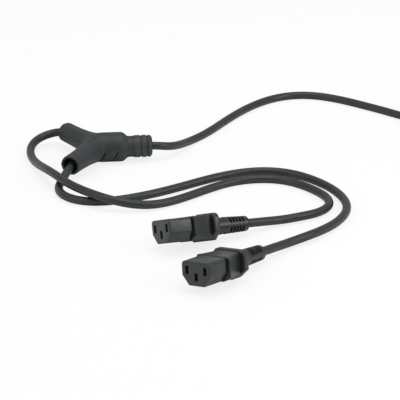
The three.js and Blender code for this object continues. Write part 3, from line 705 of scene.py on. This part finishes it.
class SPLITTER_OT_junction(bpy.types.Operator):
    """Moulds the junction: barrel, two open sleeves and the ringed trunk collar"""
    bl_idname = "splitter.junction"
    bl_label = "Junction"

    def execute(self, context):
        sizes = context.scene.splitter_junction
        colour = context.scene.splitter_colours.junction
        # The last amount paints a highlight on the junction's sharp edges
        finish = moulded("junction_finish", colour, 0.55, 0.5, edge_highlight=0.35)
        shell = self.shell(sizes, finish)
        settle(shell, "matt", "junction_body")
        collar = link("junction_collar", self.collar(sizes), finish, Matrix.Translation(FORK_AT))
        settle(collar, "matt")
        return {"FINISHED"}

    def shell(self, sizes, finish):
        """Barrel and sleeves, grown together with soft fillets, then cut"""
        barrel, neck = sizes.barrel_radius, sizes.barrel_length + SHOULDER
        arms = [loft(lathe([
            (-0.004, barrel - 0.005), (-0.001, barrel - 0.0007), (0.002, barrel),
            (sizes.barrel_length - 0.0008, barrel), (sizes.barrel_length + 0.0008, barrel - 0.0006),
            (neck, sizes.collar_radius - 0.0002), (neck + 0.002, sizes.collar_radius - 0.0004)]))]
        for direction in SLEEVE_DIRS:
            profile = []
            for k in range(17):
                t = k / 16
                flare = (barrel - sizes.sleeve_radius) * (1 - t) ** 3
                profile.append((sizes.sleeve_length * t, sizes.sleeve_radius + flare))
            arms.append(loft(turned(lathe(profile), along(direction))))
        shell = link("junction_shell", gathered("junction_shell", *arms), finish)
        grow = shell.modifiers.new("grow", "REMESH")
        grow.mode = "VOXEL"
        grow.voxel_size = 0.00055
        ease = shell.modifiers.new("ease", "SMOOTH")
        ease.factor = 0.5
        ease.iterations = 14
        baked(shell)
        cutters = self.cutters(sizes, finish)
        cut = shell.modifiers.new("cut", "BOOLEAN")
        cut.operation = "DIFFERENCE"
        cut.solver = "EXACT"
        cut.object = cutters
        baked(shell)
        bpy.data.objects.remove(cutters)
        drop_slivers(shell.data)
        shell.data.transform(Matrix.Translation(FORK_AT))
        shell.data.shade_smooth()
        shell.data.set_sharp_from_angle(angle=math.radians(40))
        return shell

    def cutters(self, sizes, finish):
        """The recesses in the sleeves, the slits in the barrel and the marks of the mould's pins"""
        cuts = []
        for direction in SLEEVE_DIRS:
            floor = sizes.sleeve_length - sizes.recess_depth
            mouth = sizes.sleeve_length
            recess, wide = sizes.recess_radius, sizes.recess_radius + 0.0006
            rings = lathe([
                (floor, recess), (mouth - 0.0008, recess), (mouth + 0.0004, wide),
                (mouth + 0.003, wide)], 40)
            cuts.append(loft(turned(rings, along(direction))))
        w, h = SLIT_WIDTH / 2, SLIT_LENGTH / 2
        shape = rounded([(-w, -h), (w, -h), (w, h), (-w, h)], [0.0006] * 4, 3)
        for place in SLIT_PLACES:
            for side in (-1, 1):
                turn = (Matrix.Translation((place, 0, 0))
                        @ Matrix.Rotation(-side * SLIT_ROUND, 4, "X")
                        @ Matrix.Translation((0, 0, sizes.barrel_radius))
                        @ Matrix.Rotation(side * SLIT_LEAN, 4, "Z"))
                ends = (-SLIT_DEPTH, SLIT_DEPTH)
                cuts.append(loft([[turn @ Vector((x, y, z)) for x, y in shape] for z in ends]))
        for direction in SLEEVE_DIRS:
            outer = direction * (sizes.sleeve_length - SLEEVE_MARK_BACK)
            side = math.copysign(1, direction.y)
            x, y, z = SADDLE_MARK
            for x, y, z in ((outer.x, outer.y, sizes.sleeve_radius), (x, y * side, z)):
                ring = [(x + MARK_RADIUS * math.cos(a), y + MARK_RADIUS * math.sin(a))
                        for a in (math.pi * k / 8 for k in range(16))]
                ends = (z - MARK_DEPTH, z + 0.002)
                cuts.append(loft([[Vector((px, py, pz)) for px, py in ring] for pz in ends]))
        return link("cutters", gathered("cutters", *cuts), finish)

    def collar(self, sizes):
        """The trunk collar with its two rings and its rounded end"""
        start = sizes.barrel_length + SHOULDER
        radius, ring = sizes.collar_radius, sizes.ring_radius
        profile = [
            (start - 0.0026, radius - 0.001), (start - 0.0006, radius + 0.0002),
            (start + 0.0005, radius)]
        x = start + NECK_LENGTH
        edge, floor = 0.00022, radius - 0.0002
        for width in RING_WIDTHS:
            profile += [
                (x - 0.0002, radius), (x, radius + 0.0001), (x, ring - edge), (x + edge, ring),
                (x + width - edge, ring), (x + width, ring - edge), (x + width, floor)]
            x += width + RING_GROOVE
            profile.append((x - 0.0002, floor))
        end = start + COLLAR_LENGTH
        profile += [(x, ring - edge), (x + edge, ring)]
        for a in (math.radians(15 * k) for k in range(7)):
            place = end - COLLAR_NOSE + COLLAR_NOSE * math.sin(a)
            profile.append((place, ring - 0.00265 * (1 - math.cos(a))))
        profile += [(end - 0.0001, 0.0040), (end - 0.0004, 0.0035), (end - 0.0015, 0.0033)]
        return gathered("junction_collar", loft(lathe(profile)))


# Connectors and plug

def relief_mesh(sizes):
    """Strain relief: a taper with grooves up to a spine on both sides, and a window above and below"""
    pitch, groove, depth, first = 0.00245, 0.0013, 0.0015, 0.0044
    spine, notch_long, notch_half = 0.0017, 0.0026, 0.0032
    end = RELIEF_LENGTH + FLANGE_LENGTH / 2
    notch_from = first + sizes.ribs * pitch + 0.0016
    soft, tip = 0.00018, 0.0013
    fine, coarse = 0.00016, 0.0012
    places = [0.0, 0.00015, 0.0004, 0.0008, tip]
    x = 0.0019
    while x < end:
        places.append(x)
        x += fine if x < notch_from + notch_long + 0.0005 else coarse
    places.append(end)
    rings = []
    count = 88
    for x in places:
        radius = sizes.relief_end + (sizes.relief_root - sizes.relief_end) * x / RELIEF_LENGTH
        if x < tip:
            radius -= tip * (1 - math.sqrt(1 - (1 - x / tip) ** 2))
        ring = []
        for k in range(count):
            angle = 2 * math.pi * k / count
            across, up = math.cos(angle) * radius, math.sin(angle) * radius
            sunk = 0.0
            if abs(up) > spine - soft:
                side = min(1.0, (abs(up) - spine + soft) / (2 * soft))
                for i in range(sizes.ribs):
                    start = first + i * pitch
                    inside = min(x - start, start + groove - x) / soft + 0.5
                    sunk = max(sunk, side * smooth_step(inside))
            if abs(up) > radius * 0.5:
                inside = min(x - notch_from, notch_from + notch_long - x, notch_half - abs(across))
                sunk = max(sunk, smooth_step(inside / soft + 0.5))
            r = radius - depth * sunk
            ring.append(Vector((x, math.cos(angle) * r, math.sin(angle) * r)))
        rings.append(ring)
    rim = [[Vector((x, v.y * s, v.z * s)) for v in rings[0]]
           for x, s in ((0.0001, 0.86), (0.0007, 0.82))]
    return gathered("relief", loft(list(reversed(rim)) + rings))


def flange_mesh(sizes):
    """The flange between strain relief and grip, its edges rounded"""
    rings = []
    start, end = RELIEF_LENGTH, GRIP_AT
    for place, inwards in reversed(eased(end, start, FLANGE_EDGE, 4)):
        rings.append(at_x(flange_outline(sizes, inwards), place))
    for place, inwards in eased(start, end, FLANGE_EDGE, 4):
        rings.append(at_x(flange_outline(sizes, inwards), place))
    return gathered("flange", loft(rings))


def flange_outline(sizes, inwards):
    return outline(sizes.flange_width, sizes.flange_height, **FLANGE_SHAPE, inwards=inwards)


def handle_mesh(sizes):
    """The grip from flange to nose, pinched in plan, with a lip under it"""
    start, end = GRIP_AT - 0.001, NOSE_AT
    control = GRIP_AT + GRIP_LENGTH * 0.45
    bottom = sizes.grip_width / 2 - GRIP_CUT
    rings = []

    def section(t, inwards=0.0, place=None):
        x = start * (1 - t) ** 2 + 2 * control * t * (1 - t) + end * t ** 2
        half = sizes.waist_width / 2 + (sizes.grip_width - sizes.waist_width) / 2 * t ** 2
        cut = half - bottom
        shape = outline(
            2 * half, sizes.grip_height, GRIP_ROUND, cut, cut * GRIP_CUT_SLOPE, 0.0011, inwards)
        return at_x(shape, x if place is None else place)

    for k in range(15):
        rings.append(section(0.955 * k / 14))
    for place, inwards in eased(start, end, 0.0008, 4):
        rings.append(section(1.0, inwards, place))
    base = -sizes.flange_height / 2
    top = base + LIP_HEIGHT
    lip = [(-LIP_HALF, base), (LIP_HALF, base), (LIP_HALF, top), (-LIP_HALF, top)]
    lip_rings = [at_x(rounded(lip, [0.0005] * 4, 3), GRIP_AT - 0.001)]
    for place, inwards in eased(GRIP_AT, GRIP_AT + LIP_LENGTH, 0.0005, 3):
        shape = rounded(inset(lip, inwards), [0.0005] * 4, 3)
        lip_rings.append(at_x(shape, place))
    return gathered("handle", loft(rings), loft(lip_rings))


def slot_section(middle, width, height):
    y, z = middle
    w, h = width / 2, height / 2
    return rounded([(y - w, z - h), (y + w, z - h), (y + w, z + h), (y - w, z + h)], [0.0003] * 4, 2)


def nose_mesh(sizes):
    """The hard nose with its three slots, which open into the rooms of the contacts"""
    def section(inwards):
        return outline(sizes.face_width, sizes.face_height, **FACE_SHAPE, inwards=inwards)

    start, bevel = NOSE_AT + 0.0001, 0.0007
    rings = [at_x(section(bevel), start), at_x(section(bevel), start + 0.0006)]
    rings.append(at_x(section(0.0), start + 0.0009))
    rings += [at_x(section(inwards), place) for place, inwards in eased(start, FACE_AT, bevel, 4)]
    shells = [loft(rings, False, False)]
    mouth, slot, room = (0.0030, 0.0055), (0.0025, 0.005), (0.0036, 0.0056)
    steps = (
        (FACE_AT, mouth), (FACE_AT - 0.0003, slot), (FACE_AT - 0.0017, slot),
        (FACE_AT - 0.00172, room), (start, room))
    for middle in PIN_PLACES:
        sections = [at_x(slot_section(middle, *size), x) for x, size in steps]
        shells.append(loft(sections, False, False))
    mesh = gathered("nose", *shells)
    fill_flat(mesh, (start, FACE_AT))
    return mesh


def collar_mesh(sizes):
    """The plug's open collar: outer skin, rounded rim, inner walls and a floor around the carrier"""
    play = 0.0006
    inner_w, inner_h = sizes.face_width + 2 * play, sizes.face_height + 2 * play
    wall = sizes.collar_wall

    def outer(inwards):
        return outline(inner_w + 2 * wall, inner_h + 2 * wall, **RIM_SHAPE, inwards=inwards)

    def inner(outwards):
        return outline(inner_w + 2 * outwards, inner_h + 2 * outwards, **FACE_SHAPE)

    back, front = NOSE_AT - 0.002, NOSE_AT + sizes.collar_depth
    rings = [at_x(outer(inwards), place) for place, inwards in reversed(eased(front, back, 0.0006, 3))]
    rings += [at_x(outer(inwards), place) for place, inwards in eased(back, front, 0.0006, 3)]
    rings += [at_x(inner(0.0004), front), at_x(inner(0.0), front - 0.0004), at_x(inner(0.0), NOSE_AT)]
    w, h = 0.0096, 0.0055          # half of the carrier's hole
    hole = rounded([(-w, -h), (w, -h), (w, h), (-w, h)], [0.0003] * 4, 2)
    well = loft([at_x(hole, NOSE_AT), at_x(hole, NOSE_AT - 0.0015)], False, True)
    mesh = gathered("collar", loft(rings, True, False), well)
    fill_flat(mesh, (NOSE_AT,))
    return mesh


def mould_grip(name, sizes, finish, turn):
    """Strain relief, flange and handle, which the connectors and the plug share"""
    settle(link(f"{name}_relief", relief_mesh(sizes), finish, turn), "satin")
    settle(link(f"{name}_flange", flange_mesh(sizes), finish, turn), "satin")
    settle(link(f"{name}_handle", handle_mesh(sizes), finish, turn), "satin", f"{name}_grip")


class SPLITTER_OT_connectors(bpy.types.Operator):
    """Moulds the two appliance connectors on the branch leads"""
    bl_idname = "splitter.connectors"
    bl_label = "Connectors"

    def execute(self, context):
        sizes = context.scene.splitter_connector
        colours = context.scene.splitter_colours
        # The last amounts paint a highlight on the sharp edges of the grips and noses
        grip = moulded("grip_finish", colours.grip, 0.34, 0.22, edge_highlight=0.3, texture=1300.0)
        nose = moulded("nose_finish", colours.nose, 0.3, 0.12, edge_highlight=0.25, texture=1800.0)
        for number in (1, 2):
            name = f"connector_{number}"
            turn = pose_matrix(name)
            mould_grip(name, sizes, grip, turn)
            settle(link(f"{name}_nose", nose_mesh(sizes), nose, turn), "insert", f"{name}_insert")
        return {"FINISHED"}


class SPLITTER_OT_plug(bpy.types.Operator):
    """Moulds the plug on the trunk lead"""
    bl_idname = "splitter.plug"
    bl_label = "Plug"

    def execute(self, context):
        sizes = context.scene.splitter_connector
        grip = bpy.data.materials["grip_finish"]
        turn = pose_matrix("plug")
        mould_grip("plug", sizes, grip, turn)
        settle(link("plug_collar", collar_mesh(sizes), grip, turn), "satin")
        return {"FINISHED"}


class SPLITTER_OT_inner(bpy.types.Operator):
    """Finishes the pins, contacts, joints and conductors"""
    bl_idname = "splitter.inner"
    bl_label = "Inner pieces"

    def execute(self, context):
        finishes = {
            "brass": metal("brass_finish", (0.48, 0.33, 0.11), 0.34),
            "nickel": metal("nickel_finish", (0.56, 0.57, 0.56), 0.28),
            "tin": metal("tin_finish", (0.35, 0.37, 0.38), 0.4),
            "live": striped("live_finish", (0.10, 0.04, 0.02), (0.11, 0.045, 0.022)),
            "neutral": striped("neutral_finish", (0.025, 0.11, 0.40), (0.028, 0.12, 0.42)),
            "earth": striped("earth_finish", (0.12, 0.32, 0.03), (0.72, 0.62, 0.03)),
            "insert": bpy.data.materials["nose_finish"],
        }
        kinds = {"_contact_": "brass", "joint_": "tin", "_carrier": "insert", "_pin_": "nickel"}
        for name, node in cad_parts.items():
            kind = next((kind for mark, kind in kinds.items() if mark in name), None)
            if "_core_" in name:
                kind = name.rsplit("_", 1)[-1]
            if kind:
                node.data.materials.clear()
                node.data.materials.append(finishes[kind])
        return {"FINISHED"}


class SPLITTER_OT_tie(bpy.types.Operator):
    """Wraps the strap that holds the coil"""
    bl_idname = "splitter.tie"
    bl_label = "Tie"

    def execute(self, context):
        leads = context.scene.splitter_leads
        low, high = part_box("coil_tie")
        wall, width = 0.0008, 0.009
        angle = math.radians(100)
        reach = leads.coil_pitch + leads.diameter / 2 + FIT
        inner, outer = leads.coil_radius - reach - 0.0005, leads.coil_radius + reach
        bottom, top = low.z + wall, high.z - wall
        section = [(inner, bottom), (outer, bottom), (outer, top), (inner, top)]
        path = rounded(section, [0.0022] * 4, 6)
        finish = woven("strap_finish", context.scene.splitter_colours.strap)
        turn = Matrix.Translation(COIL_AT) @ Matrix.Rotation(angle, 4, "Z")
        band = self.band(path, True, 0.0, wall, width)
        tail = self.band(path[-12:] + path[:3], False, wall + 0.0001, wall * 2, width * 0.97)
        strap = link("coil_strap", gathered("coil_strap", band, tail), finish, turn)
        settle(strap, "strap", "coil_tie")
        return {"FINISHED"}

    def band(self, path, round_again, inside, outside, width):
        """A flat strap along a path in the plane of the coil's section"""
        rings = []
        count = len(path)
        for i, point in enumerate(path):
            before = path[(i - 1) % count] if round_again or i > 0 else point
            after = path[(i + 1) % count] if round_again or i < count - 1 else point
            run = (after - before).normalized()
            out = Vector((run.y, -run.x))
            w, soft = width / 2, 0.0002
            ring = []
            for across, distance in (
                    (-w, inside + soft), (-w + soft, inside), (w - soft, inside), (w, inside + soft),
                    (w, outside - soft), (w - soft, outside), (-w + soft, outside),
                    (-w, outside - soft)):
                place = point + out * distance
                ring.append(Vector((place.x, across, place.y)))
            rings.append(ring)
        return loft(rings, not round_again, not round_again, round_again)


# Stage

class SPLITTER_OT_stage(bpy.types.Operator):
    """Sets the camera, the floor, the lamps and the world"""
    bl_idname = "splitter.stage"
    bl_label = "Stage"

    def execute(self, context):
        scene = context.scene
        scene.view_settings.view_transform = "Standard"
        self.camera(scene)
        self.floor(scene)
        for lamp in LAMPS:
            self.lamp(scene, *lamp)
        world = bpy.data.worlds.new("studio")
        scene.world = world
        world.use_nodes = True
        tree = world.node_tree
        back = tree.nodes["Background"]
        back.inputs["Color"].default_value = (1.0, 1.0, 1.0, 1.0)
        rays = tree.nodes.new("ShaderNodeLightPath")
        seen = tree.nodes.new("ShaderNodeMath")
        seen.operation = "MAXIMUM"
        tree.links.new(rays.outputs["Is Camera Ray"], seen.inputs[0])
        tree.links.new(rays.outputs["Is Transmission Ray"], seen.inputs[1])
        level = between(tree, seen.outputs["Value"], WORLD_LEVEL, 1.0, 0.0, 1.0)
        tree.links.new(level, back.inputs["Strength"])
        return {"FINISHED"}

    def camera(self, scene):
        """Camera of the photograph: far off, looking down at 21 degrees"""
        ahead = Vector(CAMERA_AHEAD).normalized()
        forward = ahead * math.cos(CAMERA_TILT) - Vector((0.0, 0.0, math.sin(CAMERA_TILT)))
        right = Vector((ahead.y, -ahead.x, 0.0))
        up = right.cross(forward)
        data = bpy.data.cameras.new("camera")
        data.sensor_width = 36.0
        data.lens = CAMERA_LENS
        data.clip_end = 20.0
        camera = bpy.data.objects.new("camera", data)
        turn = Matrix((right, up, -forward)).transposed().to_4x4()
        camera.matrix_world = Matrix.Translation(CAMERA_AT) @ turn
        scene.collection.objects.link(camera)
        scene.camera = camera

    def floor(self, scene):
        mesh = bpy.data.meshes.new("floor")
        size = FLOOR_SIZE
        corners = [(-size, -size, 0), (size, -size, 0), (size, size, 0), (-size, size, 0)]
        mesh.from_pydata(corners, [], [(0, 1, 2, 3)])
        finish, tree, shader = new_finish("floor_finish")
        shader.inputs["Base Color"].default_value = (0.9, 0.9, 0.9, 1.0)
        shader.inputs["Roughness"].default_value = 0.9
        shader.inputs["Specular IOR Level"].default_value = 0.1
        glow = tree.nodes.new("ShaderNodeEmission")
        glow.inputs["Strength"].default_value = 1.0
        rays = tree.nodes.new("ShaderNodeLightPath")
        share = tree.nodes.new("ShaderNodeMath")
        share.operation = "MULTIPLY"
        share.inputs[1].default_value = FLOOR_GLOW
        mix = tree.nodes.new("ShaderNodeMixShader")
        tree.links.new(rays.outputs["Is Camera Ray"], share.inputs[0])
        tree.links.new(share.outputs["Value"], mix.inputs["Fac"])
        tree.links.new(shader.outputs["BSDF"], mix.inputs[1])
        tree.links.new(glow.outputs["Emission"], mix.inputs[2])
        tree.links.new(mix.outputs["Shader"], tree.nodes["Material Output"].inputs["Surface"])
        mesh.materials.append(finish)
        floor = bpy.data.objects.new("floor", mesh)
        scene.collection.objects.link(floor)

    def lamp(self, scene, name, place, size, power):
        data = bpy.data.lights.new(name, "AREA")
        data.shape = "DISK"
        data.size = size
        data.energy = power
        lamp = bpy.data.objects.new(name, data)
        lamp.location = place
        aim = Vector(MIDDLE) - Vector(place)
        lamp.rotation_euler = aim.to_track_quat("-Z", "Y").to_euler()
        scene.collection.objects.link(lamp)


class SPLITTER_PT_panel(bpy.types.Panel):
    """Lists the steps that build the splitter"""
    bl_idname = "SPLITTER_PT_panel"
    bl_label = "Power cord splitter"
    bl_space_type = "VIEW_3D"
    bl_region_type = "UI"
    bl_category = "Splitter"

    def draw(self, context):
        layout = self.layout
        for operator in OPERATORS:
            layout.operator(operator.bl_idname)
        for group in ("splitter_leads", "splitter_junction", "splitter_connector", "splitter_colours"):
            sizes = getattr(context.scene, group)
            box = layout.box()
            for key in sizes.__annotations__:
                box.prop(sizes, key)


OPERATORS = (
    SPLITTER_OT_stage, SPLITTER_OT_leads, SPLITTER_OT_junction, SPLITTER_OT_connectors,
    SPLITTER_OT_plug, SPLITTER_OT_inner, SPLITTER_OT_tie)
GROUPS = {
    "splitter_leads": SplitterLeads, "splitter_junction": SplitterJunction,
    "splitter_connector": SplitterConnector, "splitter_colours": SplitterColours}


def register():
    for group in GROUPS.values():
        bpy.utils.register_class(group)
    for key, group in GROUPS.items():
        setattr(bpy.types.Scene, key, PointerProperty(type=group))
    for operator in OPERATORS:
        bpy.utils.register_class(operator)
    bpy.utils.register_class(SPLITTER_PT_panel)


def unregister():
    bpy.utils.unregister_class(SPLITTER_PT_panel)
    for operator in reversed(OPERATORS):
        bpy.utils.unregister_class(operator)
    for key in GROUPS:
        delattr(bpy.types.Scene, key)
    for group in reversed(GROUPS.values()):
        bpy.utils.unregister_class(group)


def main():
    register()
    bpy.ops.splitter.stage()
    bpy.ops.splitter.leads()
    bpy.ops.splitter.junction()
    bpy.ops.splitter.connectors()
    bpy.ops.splitter.plug()
    bpy.ops.splitter.inner()
    bpy.ops.splitter.tie()


if __name__ == "__main__":
    main()
